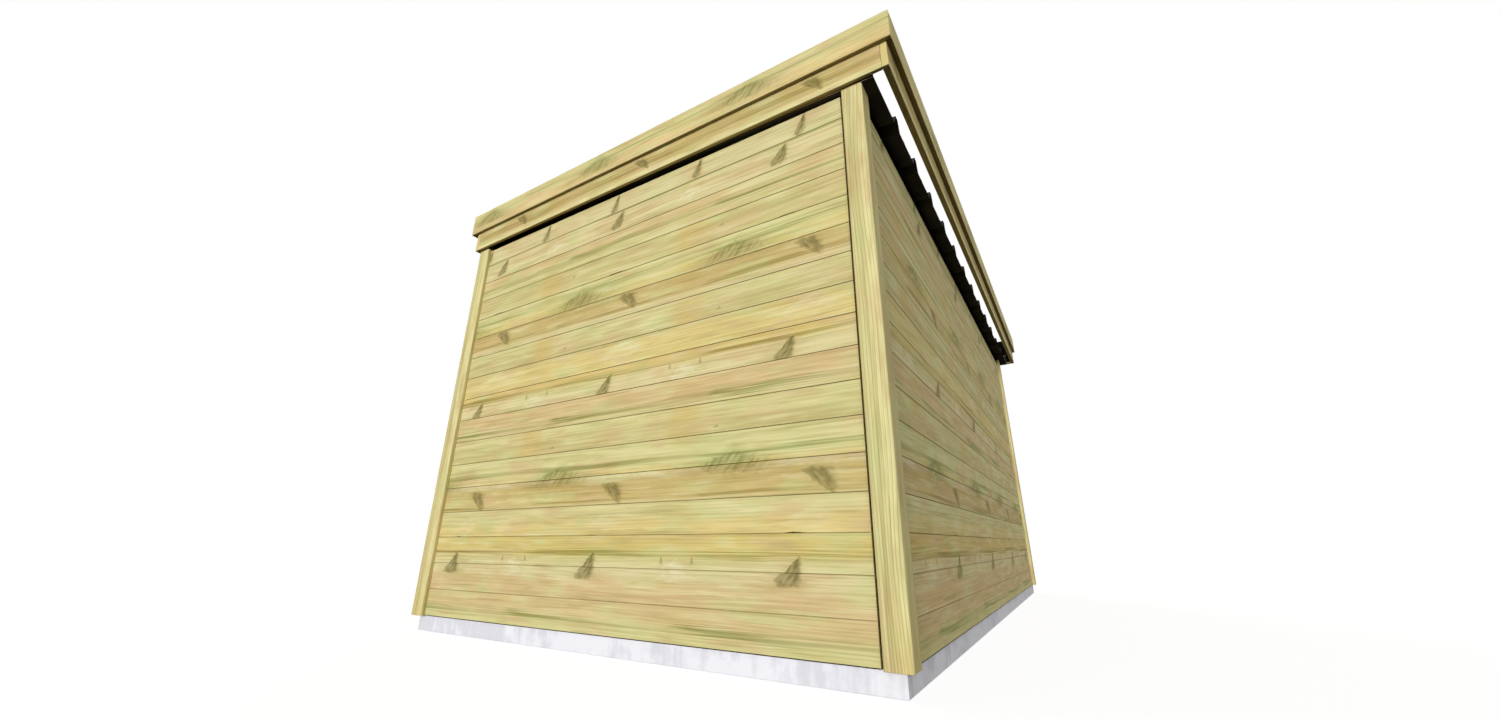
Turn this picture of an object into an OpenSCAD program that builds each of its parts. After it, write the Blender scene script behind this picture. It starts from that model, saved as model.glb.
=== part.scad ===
// Garden shed: boarded walls between corner posts on a concrete slab, with a
// ribbed steel roof that falls to the right behind a two-tier timber fascia.
// Millimetres. Origin at the middle of the slab's underside, front towards -Y.

/* [Slab] */
// Width of the slab, left to right
slab_w = 2235; // [1800:5:3000]
// Depth of the slab, front to back
slab_d = 3615; // [2800:5:4600]
// Thickness of the slab
slab_h = 62; // [40:1:120]

/* [Walls] */
// Height of the cladding above the slab
wall_h = 1891; // [1700:1:2400]
// Thickness of the cladding boards
clad_t = 16; // [12:1:28]
// How far the cladding stands outside the slab's edge
clad_out = 5; // [0:1:15]
// How much further the left wall stands outside the slab
left_step = 11; // [0:1:15]
// Width of a square corner post
post_w = 80; // [70:1:110]
// How far a post stands proud of the cladding
post_proud = 20; // [8:1:30]
// Shadow gap between a post and the ends of the cladding
panel_gap = 13; // [4:1:20]
// Gap between a left post and the front or back cladding
left_gap = 3; // [1:1:20]
// Height of a wall plate
plate_h = 44; // [30:1:70]
// Rise of the top plates above the cladding
plate_rise = 6; // [3:1:20]
// Width of a stud along the wall
stud_w = 58; // [36:1:80]
// Studs in the front and back walls
end_studs = 3; // [2:1:5]
// Studs in the right and left walls
side_studs = 4; // [2:1:6]

/* [Roof] */
// Rise of the roof from the right wall to the left wall
roof_fall = 40; // [20:1:80]
// Overhang of the sheets beyond the right edge of the slab
eave_out = 71; // [50:1:90]
// Gap between the sheets and the left fascia
sheet_gap = 10; // [4:1:30]
// Thickness of the sheet steel
sheet_t = 0.8; // [0.5:0.1:1.5]
// Height of a rib
rib_h = 52; // [20:1:60]
// Width of a rib along its top
rib_top_w = 28; // [15:1:40]
// Width of a rib at its foot
rib_foot_w = 74; // [55:1:100]
// Spacing of the ribs
rib_pitch = 286; // [200:1:290]
// Distance of the first rib from the front edge of the slab
rib_start = 270; // [200:1:300]
// Height of the turned-up edges at the front and back
upstand_h = 90; // [50:1:110]
// Width of a purlin
purlin_w = 45; // [35:1:70]
// Height of a purlin
purlin_h = 95; // [70:1:145]
// Thickness of a ledger under the purlin ends
ledger_t = 28; // [20:1:45]
// Height of a ledger
ledger_h = 95; // [70:1:145]
// Width of a verge batten
batten_w = 45; // [30:1:70]
// Height of a verge batten
batten_h = 110; // [60:1:120]

/* [Fascia] */
// Thickness of the fascia boards at the front and back
end_board_t = 16; // [12:1:24]
// Thickness of the lower fascia boards on the right and left
side_board_t = 25; // [18:1:32]
// Thickness of the upper fascia board on the right
right_upper_t = 21; // [16:1:40]
// Thickness of the upper fascia board on the left
left_upper_t = 38; // [16:1:45]
// Gap between the cladding's top and the lower fascia
fascia_gap = 12; // [10:1:40]
// Height of a lower fascia board
lower_h = 145; // [130:1:200]
// Height of the lower boards that shows under the upper ones
lower_show = 109; // [60:1:120]
// Height of an upper fascia board
upper_h = 126; // [110:1:180]
// How far the lower board stands outside the slab at the front
front_out = 41; // [30:1:55]
// How far the lower board stands outside the slab at the back
back_out = 160; // [30:1:190]
// How far the lower board stands outside the slab on the right
right_out = 133; // [125:1:160]
// How far the lower board stands outside the left wall's line
left_out = 52; // [45:1:100]

/* [Hidden] */
// Slack left where a piece sits near another without bearing on it
slack = 0.6;
// Ends of the ledgers stop short of the side walls
ledger_end = 5;
// Thinnest end of a firring strip
firring_min = 4;
// Verge battens stop short of the sheets' right ends
batten_back = 25;
// Sheets across the roof
sheet_n = 3;
// Purlins between the right and left walls
purlin_n = 3;
half_w = slab_w / 2;
half_d = slab_d / 2;
left_half = half_w + left_step;
post_out = clad_out + post_proud;
post_in = post_w - post_out;
frame_out = clad_out - clad_t;
frame_d = post_in + frame_out;
clad_top = slab_h + wall_h;
plate_top = clad_top + plate_rise;
stud_h = plate_top - slab_h - 2 * plate_h;
end_x = post_in - left_half;
end_len = half_w - post_in - end_x;
side_len = slab_d - 2 * post_in;
pivot_x = half_w + frame_out;
left_x = -left_half - frame_out;
roof_slope = roof_fall / (pivot_x - left_x);
roof_a = atan(roof_slope);
post_top = plate_top - (post_out - frame_out) * roof_slope - slack;
sheet_right = (eave_out - frame_out) / cos(roof_a);
sheet_left = (left_half + left_out - side_board_t - sheet_gap + pivot_x) / cos(roof_a);
rib_lean = atan2(rib_h, (rib_foot_w - rib_top_w) / 2);
fold_in = sheet_t * tan(rib_lean / 2);
front_in = half_d + front_out - end_board_t;
back_in = half_d + back_out - end_board_t;
fascia_len = slab_d + front_out + back_out;
rib_room = half_d + back_in - rib_start - rib_foot_w / 2 - batten_w - sheet_t;
rib_n = 1 + floor(rib_room / rib_pitch);
lower_z = clad_top + fascia_gap;
upper_z = lower_z + lower_show;

treated = "#c6b57c";
sawn = "#bda56d";
steel = "#1c1b19";
concrete = "#d9d7d6";

// Height of the roof sheets' underside at a place across the width
function roof_z(x) = plate_top + (pivot_x - x) * roof_slope;

// Places the children on the front wall or, mirrored, on the back wall
module on_end(back = false) {
  mirror([0, back ? 1 : 0, 0]) translate([0, -half_d, 0]) children();
}

// Places the children on the right wall or, mirrored, on the left wall
module on_side(left = false) {
  mirror([left ? 1 : 0, 0, 0]) translate([left ? left_half : half_w, 0, 0]) children();
}

// Lays the children on the roof's plane: x runs down the fall from the right top plate
module on_roof() {
  translate([pivot_x, 0, plate_top]) rotate([0, roof_a, 0]) children();
}

module slab() {
  color(concrete) translate([-half_w, -half_d, 0]) cube([slab_w, slab_d, slab_h]);
}

module post(left, back) {
  color(treated) mirror([left ? 1 : 0, 0, 0]) mirror([0, back ? 1 : 0, 0])
    translate([(left ? left_half : half_w) - post_in, -half_d - post_out, slab_h])
      cube([post_w, post_w, post_top - slab_h]);
}

// Timbers of an end wall's frame, from the slab edge inwards
module end_plate(z) {
  color(sawn) translate([end_x, -frame_out, z]) cube([end_len, frame_d, plate_h]);
}

module end_stud_row() {
  step = (end_len - stud_w) / (end_studs - 1);
  color(sawn) for (i = [0 : end_studs - 1])
    translate([end_x + i * step, -frame_out, slab_h + plate_h])
      cube([stud_w, frame_d, stud_h]);
}

module end_cladding() {
  color(treated) translate([end_x + left_gap, -clad_out, slab_h])
    cube([end_len - left_gap - panel_gap, clad_t, wall_h]);
}

// Timbers of a side wall's frame, from the slab edge inwards
module side_plate(z) {
  color(sawn) translate([-post_in, -side_len / 2, z]) cube([frame_d, side_len, plate_h]);
}

module side_stud_row() {
  step = (side_len - stud_w) / (side_studs - 1);
  color(sawn) for (i = [0 : side_studs - 1])
    translate([-post_in, -side_len / 2 + i * step, slab_h + plate_h])
      cube([frame_d, stud_w, stud_h]);
}

module side_cladding() {
  color(treated) translate([frame_out, -side_len / 2 + panel_gap, slab_h])
    cube([clad_t, side_len - 2 * panel_gap, wall_h]);
}

// Tapered strip that fills between an end wall's top plate and the sheets
module firring() {
  thin_x = pivot_x - firring_min / roof_slope;
  color(sawn) translate([0, frame_d - frame_out, 0]) rotate([90, 0, 0]) linear_extrude(frame_d)
    polygon([[end_x, plate_top], [thin_x, plate_top], [thin_x, roof_z(thin_x)], [end_x, roof_z(end_x)]]);
}

// Strip with a sloping top that carries the sheets over the left wall
module packer() {
  color(sawn) translate([0, side_len / 2, 0]) rotate([90, 0, 0]) linear_extrude(side_len)
    polygon([[left_x, plate_top], [end_x, plate_top], [end_x, roof_z(end_x)], [left_x, roof_z(left_x)]]);
}

// Board along an end wall's inside, parallel to the roof, under the purlin ends
module ledger() {
  run = end_len / cos(roof_a) - 2 * ledger_end;
  start = -frame_d / cos(roof_a) - ledger_end - run;
  color(sawn) on_roof() translate([start, -side_len / 2, -purlin_h - ledger_h])
    cube([run, ledger_t, ledger_h]);
}

// Purlin number i, counted from the right wall
module purlin(i) {
  step = end_len / (purlin_n + 1);
  color(sawn) on_roof()
    translate([-frame_d - i * step - purlin_w / 2, -side_len / 2, -purlin_h])
      cube([purlin_w, side_len, purlin_h]);
}

// Points along a rib, near foot to far foot, on the sheet's underside or its top
function rib_points(y, over) = [
  [y - rib_foot_w / 2 - over * fold_in, over * sheet_t],
  [y - rib_top_w / 2 - over * fold_in, rib_h + over * sheet_t],
  [y + rib_top_w / 2 + over * fold_in, rib_h + over * sheet_t],
  [y + rib_foot_w / 2 + over * fold_in, over * sheet_t]
];

function rib_y(i) = -half_d + rib_start + i * rib_pitch;

// Number of the first rib on sheet k
function first_rib(k) = floor(k * rib_n / sheet_n);

function reversed(list) = [for (i = [len(list) - 1 : -1 : 0]) list[i]];

// Sheet number k: edges meet halfway between ribs, and the outer edges turn up
module roof_sheet(k) {
  first = k == 0;
  last = k == sheet_n - 1;
  ribs = [for (i = [first_rib(k) : first_rib(k + 1) - 1]) rib_y(i)];
  near = first ? -front_in : rib_y(first_rib(k)) - rib_pitch / 2;
  far = last ? back_in : rib_y(first_rib(k + 1)) - rib_pitch / 2;
  under = [for (y = ribs) each rib_points(y, 0)];
  top = [for (y = reversed(ribs)) each reversed(rib_points(y, 1))];
  far_edge = last
    ? [[far, 0], [far, upstand_h], [far - sheet_t, upstand_h], [far - sheet_t, sheet_t]]
    : [[far, 0], [far, sheet_t]];
  near_edge = first
    ? [[near + sheet_t, sheet_t], [near + sheet_t, upstand_h], [near, upstand_h], [near, 0]]
    : [[near, sheet_t], [near, 0]];
  color(steel) on_roof() translate([-sheet_left, 0, 0]) rotate([90, 0, 90])
    linear_extrude(sheet_left + sheet_right) polygon(concat(under, far_edge, top, near_edge));
}

// Batten inside a turned-up edge, to which the fascia is nailed
module verge_batten(inner) {
  color(sawn) on_roof() translate([-sheet_left, -inner + sheet_t, sheet_t])
    cube([sheet_left + sheet_right - batten_back, batten_w, batten_h]);
}

// Fascia boards: the end boards fit between the lower side boards and cover the ends of the upper ones
module end_lower_fascia(out) {
  near_x = -left_half - left_out + side_board_t;
  far_x = half_w + right_out - side_board_t;
  color(treated) translate([near_x, -out, lower_z]) cube([far_x - near_x, end_board_t, lower_h]);
}

module side_lower_fascia(out) {
  color(treated) translate([out - side_board_t, -half_d - front_out, lower_z])
    cube([side_board_t, fascia_len, lower_h]);
}

module end_upper_fascia(out) {
  near_x = -left_half - left_out - left_upper_t;
  far_x = half_w + right_out + right_upper_t;
  color(treated) translate([near_x, -out - end_board_t, upper_z])
    cube([far_x - near_x, end_board_t, upper_h]);
}

module side_upper_fascia(out, thick) {
  color(treated) translate([out, -half_d - front_out, upper_z])
    cube([thick, fascia_len, upper_h]);
}

slab();  // base_slab
post(false, false);  // front_right_post
post(true, false);  // front_left_post
post(false, true);  // back_right_post
post(true, true);  // back_left_post
on_end() end_plate(slab_h);  // front_sole_plate
on_end(true) end_plate(slab_h);  // back_sole_plate
on_side() side_plate(slab_h);  // right_sole_plate
on_side(true) side_plate(slab_h);  // left_sole_plate
on_end() end_stud_row();  // front_studs
on_end(true) end_stud_row();  // back_studs
on_side() side_stud_row();  // right_studs
on_side(true) side_stud_row();  // left_studs
on_end() end_plate(plate_top - plate_h);  // front_top_plate
on_end(true) end_plate(plate_top - plate_h);  // back_top_plate
on_side() side_plate(plate_top - plate_h);  // right_top_plate
on_side(true) side_plate(plate_top - plate_h);  // left_top_plate
on_end() end_cladding();  // front_cladding
on_end(true) end_cladding();  // back_cladding
on_side() side_cladding();  // right_cladding
on_side(true) side_cladding();  // left_cladding
on_end() firring();  // front_firring
on_end(true) firring();  // back_firring
packer();  // left_packer
ledger();  // front_ledger
mirror([0, 1, 0]) ledger();  // back_ledger
purlin(1);  // right_purlin
purlin(2);  // middle_purlin
purlin(3);  // left_purlin
roof_sheet(0);  // roof_sheet_front
roof_sheet(1);  // roof_sheet_middle
roof_sheet(2);  // roof_sheet_back
verge_batten(front_in);  // front_verge_batten
mirror([0, 1, 0]) verge_batten(back_in);  // back_verge_batten
on_end() end_lower_fascia(front_out);  // front_lower_fascia
on_end(true) end_lower_fascia(back_out);  // back_lower_fascia
on_side() side_lower_fascia(right_out);  // right_lower_fascia
on_side(true) side_lower_fascia(left_out);  // left_lower_fascia
on_end() end_upper_fascia(front_out);  // front_upper_fascia
on_end(true) end_upper_fascia(back_out);  // back_upper_fascia
on_side() side_upper_fascia(right_out, right_upper_t);  // right_upper_fascia
on_side(true) side_upper_fascia(left_out, left_upper_t);  // left_upper_fascia
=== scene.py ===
import math

import bpy
import numpy as np
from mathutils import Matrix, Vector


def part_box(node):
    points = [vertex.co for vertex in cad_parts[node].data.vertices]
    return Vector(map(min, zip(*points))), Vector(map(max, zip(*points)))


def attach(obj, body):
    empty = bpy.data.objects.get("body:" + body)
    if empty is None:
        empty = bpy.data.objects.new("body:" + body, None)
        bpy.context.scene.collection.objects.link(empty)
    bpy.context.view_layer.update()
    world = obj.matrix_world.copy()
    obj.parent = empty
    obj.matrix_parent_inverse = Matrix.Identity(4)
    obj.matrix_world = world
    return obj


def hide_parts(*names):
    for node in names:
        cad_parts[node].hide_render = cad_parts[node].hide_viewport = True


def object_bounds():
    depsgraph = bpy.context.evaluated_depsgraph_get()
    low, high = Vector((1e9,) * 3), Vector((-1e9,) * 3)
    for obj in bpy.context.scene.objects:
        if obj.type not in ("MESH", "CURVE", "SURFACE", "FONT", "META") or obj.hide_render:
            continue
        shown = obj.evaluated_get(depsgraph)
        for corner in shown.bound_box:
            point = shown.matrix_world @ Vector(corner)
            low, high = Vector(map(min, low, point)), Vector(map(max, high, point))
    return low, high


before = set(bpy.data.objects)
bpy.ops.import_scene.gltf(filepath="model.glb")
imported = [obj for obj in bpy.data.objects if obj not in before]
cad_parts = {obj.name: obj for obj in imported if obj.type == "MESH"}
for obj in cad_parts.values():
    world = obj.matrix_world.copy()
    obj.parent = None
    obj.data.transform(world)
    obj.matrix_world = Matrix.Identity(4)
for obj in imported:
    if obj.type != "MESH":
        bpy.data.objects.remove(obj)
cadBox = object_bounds()
print("frame:", len(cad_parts), "nodes")

xAxis, yAxis, zAxis = np.eye(3)

# Camera: a wide lens, low down and off the slab's near corner
view = {
    "lens": 12.662,  # mm, on a 36 mm wide sensor
    "fromCorner": (0.4479, -1.4993, 0.367),  # metres from the near bottom corner
    "pitch": 109.302,  # degrees
    "turn": 31.29,
}


def setCamera():
    slabLow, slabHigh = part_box("base_slab")
    corner = np.array([slabHigh[0], slabLow[1], slabLow[2]])
    data = bpy.data.cameras.new("viewCamera")
    data.sensor_width = 36
    data.sensor_fit = "HORIZONTAL"
    data.lens = view["lens"]
    camera = bpy.data.objects.new("viewCamera", data)
    camera.location = corner + np.array(view["fromCorner"])
    camera.rotation_euler = (math.radians(view["pitch"]), 0, math.radians(view["turn"]))
    bpy.context.scene.collection.objects.link(camera)
    bpy.context.scene.camera = camera


setCamera()
print("camera set")


# Colours are written in sRGB 0-255 and turned to linear light here
def linear(tint):
    c = np.asarray(tint, float) / 255
    return np.where(c <= 0.04045, c / 12.92, ((c + 0.055) / 1.055) ** 2.4)


def colour(tint):
    return (*linear(tint), 1.0)


# Shader node helpers: a value may be a socket to link or a constant to set
def addNode(tree, kind, inputs=(), **settings):
    made = tree.nodes.new("ShaderNode" + kind)
    for key, value in settings.items():
        setattr(made, key, value)
    for key, value in dict(inputs).items():
        if isinstance(value, bpy.types.NodeSocket):
            tree.links.new(value, made.inputs[key])
        else:
            made.inputs[key].default_value = value
    return made


def calc(tree, operation, *values):
    return addNode(tree, "Math", enumerate(values), operation=operation).outputs[0]


def splitVector(tree, vector):
    return addNode(tree, "SeparateXYZ", {0: vector}).outputs


def joinVector(tree, *parts):
    return addNode(tree, "CombineXYZ", enumerate(parts)).outputs[0]


def ramp(tree, value, low, high, toLow=0.0, toHigh=1.0):
    # smooth step from low to high
    sockets = {0: value, 1: low, 2: high, 3: toLow, 4: toHigh}
    return addNode(tree, "MapRange", sockets, interpolation_type="SMOOTHSTEP").outputs[0]


def blendColour(tree, share, first, second, mode="MIX"):
    sockets = {0: share, 6: first, 7: second}
    return addNode(tree, "Mix", sockets, data_type="RGBA", blend_type=mode).outputs[2]


def noise(tree, place, scales, detail=2.0, rough=0.5, shift=(0, 0, 0)):
    # noise of a stretched place, 0 to 1
    moved = addNode(tree, "VectorMath", {0: place, 1: scales, 2: shift}, operation="MULTIPLY_ADD").outputs[0]
    sockets = {"Vector": moved, "Scale": 1.0, "Detail": detail, "Roughness": rough}
    return addNode(tree, "TexNoise", sockets).outputs[0]


def newGroup(name, takes, gives):
    group = bpy.data.node_groups.new(name, "ShaderNodeTree")
    for label, kind in takes.items():
        group.interface.new_socket(label, in_out="INPUT", socket_type="NodeSocket" + kind)
    for label, kind in gives.items():
        group.interface.new_socket(label, in_out="OUTPUT", socket_type="NodeSocket" + kind)
    return group, group.nodes.new("NodeGroupInput").outputs, group.nodes.new("NodeGroupOutput").inputs


def useGroup(tree, group, inputs):
    return addNode(tree, "Group", inputs, node_tree=group).outputs


def newMaterial(name):
    material = bpy.data.materials.new(name)
    material.use_nodes = True
    tree = material.node_tree
    return material, tree, tree.nodes["Principled BSDF"].inputs


def shadeBy(tree, tint, level):
    # a colour made darker or lighter by one grey level
    grey = addNode(tree, "CombineColor", {0: level, 1: level, 2: level}).outputs[0]
    return blendColour(tree, 1.0, tint, grey, "MULTIPLY")


def addBump(tree, skin, height, strength, distance):
    bump = addNode(tree, "Bump", {"Height": height, "Strength": strength, "Distance": distance})
    tree.links.new(bump.outputs[0], skin["Normal"])


# Wood grain: growth lines, bold dashes and fibres run along x, wander across y and differ by z
# rings = sin(ringTurn * across + ringSway * slow noise), thin lines about 10 mm apart
grainLook = {
    "slow": (1.1, 6.0, 5.0),  # noise scales along, across and from board to board
    "lines": (1.3, 1.0, 3.0),
    "dashes": (3.0, 0.42, 3.0),
    "fibre": (11.0, 560.0, 2.0),
    "cloud": (4.5, 13.0, 4.0),
    "patch": (5.0, 40.0, 4.0),
    "sway": 0.03,  # metres that a growth line wanders
    "ringTurn": 600.0,
    "ringSway": 16.0,
}


def grainGroup():
    g = grainLook
    group, take, give = newGroup(
        "timberGrain",
        {"Place": "Vector", "Line Scale": "Float"},
        dict.fromkeys(("Lines", "Dashes", "Rings", "Fibre", "Cloud", "Patch"), "Float"),
    )
    place = take["Place"]
    along, across, board = splitVector(group, place)
    slow = noise(group, place, g["slow"], detail=1.0)
    across = calc(group, "ADD", across, calc(group, "MULTIPLY_ADD", slow, g["sway"], -g["sway"] / 2))
    phase = calc(group, "MULTIPLY_ADD", across, g["ringTurn"], calc(group, "MULTIPLY", slow, g["ringSway"]))
    linePlace = joinVector(group, along, calc(group, "MULTIPLY", across, take["Line Scale"]), board)
    fibrePlace = joinVector(group, along, across, board)
    lines = noise(group, linePlace, g["lines"], rough=0.6)
    dashes = noise(group, linePlace, g["dashes"], detail=1.0, shift=(2.0, 9.0, 4.0))
    results = {
        "Lines": ramp(group, lines, 0.40, 0.66),
        "Dashes": ramp(group, dashes, 0.62, 0.72),
        "Rings": ramp(group, calc(group, "SINE", phase), 0.70, 0.98),
        "Fibre": noise(group, fibrePlace, g["fibre"], rough=0.65),
        "Cloud": noise(group, place, g["cloud"], shift=(7.0, 3.0, 1.0)),
        "Patch": noise(group, place, g["patch"], detail=3.0, shift=(1.0, 5.0, 8.0)),
    }
    for label, value in results.items():
        group.links.new(value, give[label])
    return group


# A leaning mark across the board: broad at one end, narrow at the other, with stripes through it
# p = height / half height, q = (along - lean * height) / (half width * (broad - taper * p))
# far = sqrt(|p|^power + q^2), crisp on the left side and soft on the right
markLook = {
    "broad": 0.62,
    "taper": 0.42,
    "narrowest": 0.14,
    "edgeNoise": (40.0, 90.0, 1.0),
    "core": (1.1, 0.75),  # far at which the core starts and is full, on the left
    "soften": (0.3, -0.35),  # what the right side adds to them
    "halo": (2.4, 0.6),
    "bend": -0.004,  # metres that a knot pushes the grain aside
}


def markGroup():
    m = markLook
    group, take, give = newGroup(
        "timberMark",
        {"Place": "Vector", "Centre": "Vector", "Shape": "Vector", "Ragged": "Float", "End Power": "Float",
         "Stripe Lean": "Float", "Stripe Scale": "Vector", "Stripe Share": "Float"},
        {"Core": "Float", "Halo": "Float", "Bend": "Float"},
    )
    away = addNode(group, "VectorMath", {0: take["Place"], 1: take["Centre"]}, operation="SUBTRACT")
    along, height = splitVector(group, away.outputs[0])[:2]
    lean, halfTall, halfWide = splitVector(group, take["Shape"])
    strength = splitVector(group, take["Centre"])[2]
    p = calc(group, "DIVIDE", height, halfTall)
    aside = calc(group, "SUBTRACT", along, calc(group, "MULTIPLY", height, lean))
    width = calc(group, "MAXIMUM", calc(group, "MULTIPLY_ADD", p, -m["taper"], m["broad"]), m["narrowest"])
    q = calc(group, "DIVIDE", calc(group, "DIVIDE", aside, halfWide), width)
    ends = calc(group, "POWER", calc(group, "ABSOLUTE", p), take["End Power"])
    far = calc(group, "SQRT", calc(group, "MULTIPLY_ADD", q, q, ends))
    rough = noise(group, take["Place"], m["edgeNoise"])
    edge = calc(group, "MULTIPLY_ADD", calc(group, "SUBTRACT", rough, 0.5), take["Ragged"], far)
    acrossStripe = calc(group, "SUBTRACT", aside, calc(group, "MULTIPLY", height, take["Stripe Lean"]))
    stripePlace = joinVector(group, height, acrossStripe, strength)
    stripes = ramp(group, noise(group, stripePlace, take["Stripe Scale"], detail=1.0), 0.38, 0.62)
    bare = calc(group, "MULTIPLY", calc(group, "SUBTRACT", 1.0, stripes), take["Stripe Share"])
    bare = calc(group, "MAXIMUM", bare, ramp(group, calc(group, "ADD", p, q), -0.6, -1.7, 0.0, 0.6))
    soft = ramp(group, q, -0.3, 0.5)
    outer, inner = (calc(group, "MULTIPLY_ADD", soft, m["soften"][i], m["core"][i]) for i in (0, 1))
    core = calc(group, "MULTIPLY", ramp(group, edge, outer, inner), strength)
    halo = calc(group, "MULTIPLY", ramp(group, edge, *m["halo"]), strength)
    push = calc(group, "MULTIPLY", calc(group, "TANH", q), halo)
    group.links.new(calc(group, "MULTIPLY", core, calc(group, "SUBTRACT", 1.0, bare)), give["Core"])
    group.links.new(halo, give["Halo"])
    group.links.new(calc(group, "MULTIPLY", push, m["bend"]), give["Bend"])
    return group


timberGrain = grainGroup()
timberMark = markGroup()


# Pressure-treated pine: tones, streaks, knots and stains come from each board's own values
pine = {
    "pale": (230, 221, 170),  # tones that cloud every board
    "dull": (188, 174, 112),
    "green": (203, 206, 144),
    "rosy": (220, 192, 142),
    "warm": (212, 182, 112),
    "bleached": (233, 227, 186),
    "leaf": (122, 121, 62),
    "knot": (114, 104, 56),
    "knotRing": (184, 168, 100),
    # dark inside of open cracks at the seams: painted shade
    "crack": (44, 36, 20),
    "endCut": (216, 198, 132),
    "drip": (112, 96, 48),  # painted shade on undersides
    "greenShade": (190, 201, 168),
    "brownShade": (200, 194, 156),
    "lineShade": (206, 196, 172),
    "dashShade": (186, 170, 128),
    "ringShade": (176, 160, 106),
    "shares": {"green": 0.60, "rosy": 0.60, "pale": 0.50, "dull": 0.45, "bleached": 0.8, "leaf": 0.6,
               "knotRing": 0.25, "knot": 0.95, "lineShade": 0.35, "dashShade": 0.25},
    "clouds": {"green": ("Cloud", 0.70), "rosy": ("Cloud", 0.30),  # grain mask, and where a tone is full
               "pale": ("Patch", 0.70), "dull": ("Patch", 0.30)},
    "stainHalo": 0.42,
    "lineScale": 170.0,  # growth lines per metre, about
    "streakNoise": (2.2, 2.0, 9.0),
    "streakSway": 0.03,  # metres that a streak wanders
    "roughness": 0.59,
    "shine": 0.06,
    "marks": {
        "knot": {"Ragged": 0.9, "End Power": 5.0, "Stripe Lean": 0.0, "Stripe Scale": (22.0, 62.0, 1.0),
                 "Stripe Share": 0.45},
        "stain": {"Ragged": 1.1, "End Power": 2.0, "Stripe Lean": 0.5, "Stripe Scale": (14.0, 46.0, 1.0),
                  "Stripe Share": 0.8},
        "bleach": {"Ragged": 1.2, "End Power": 2.0, "Stripe Lean": 0.0, "Stripe Scale": (50.0, 16.0, 1.0),
                   "Stripe Share": 0.6},
    },
}


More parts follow.
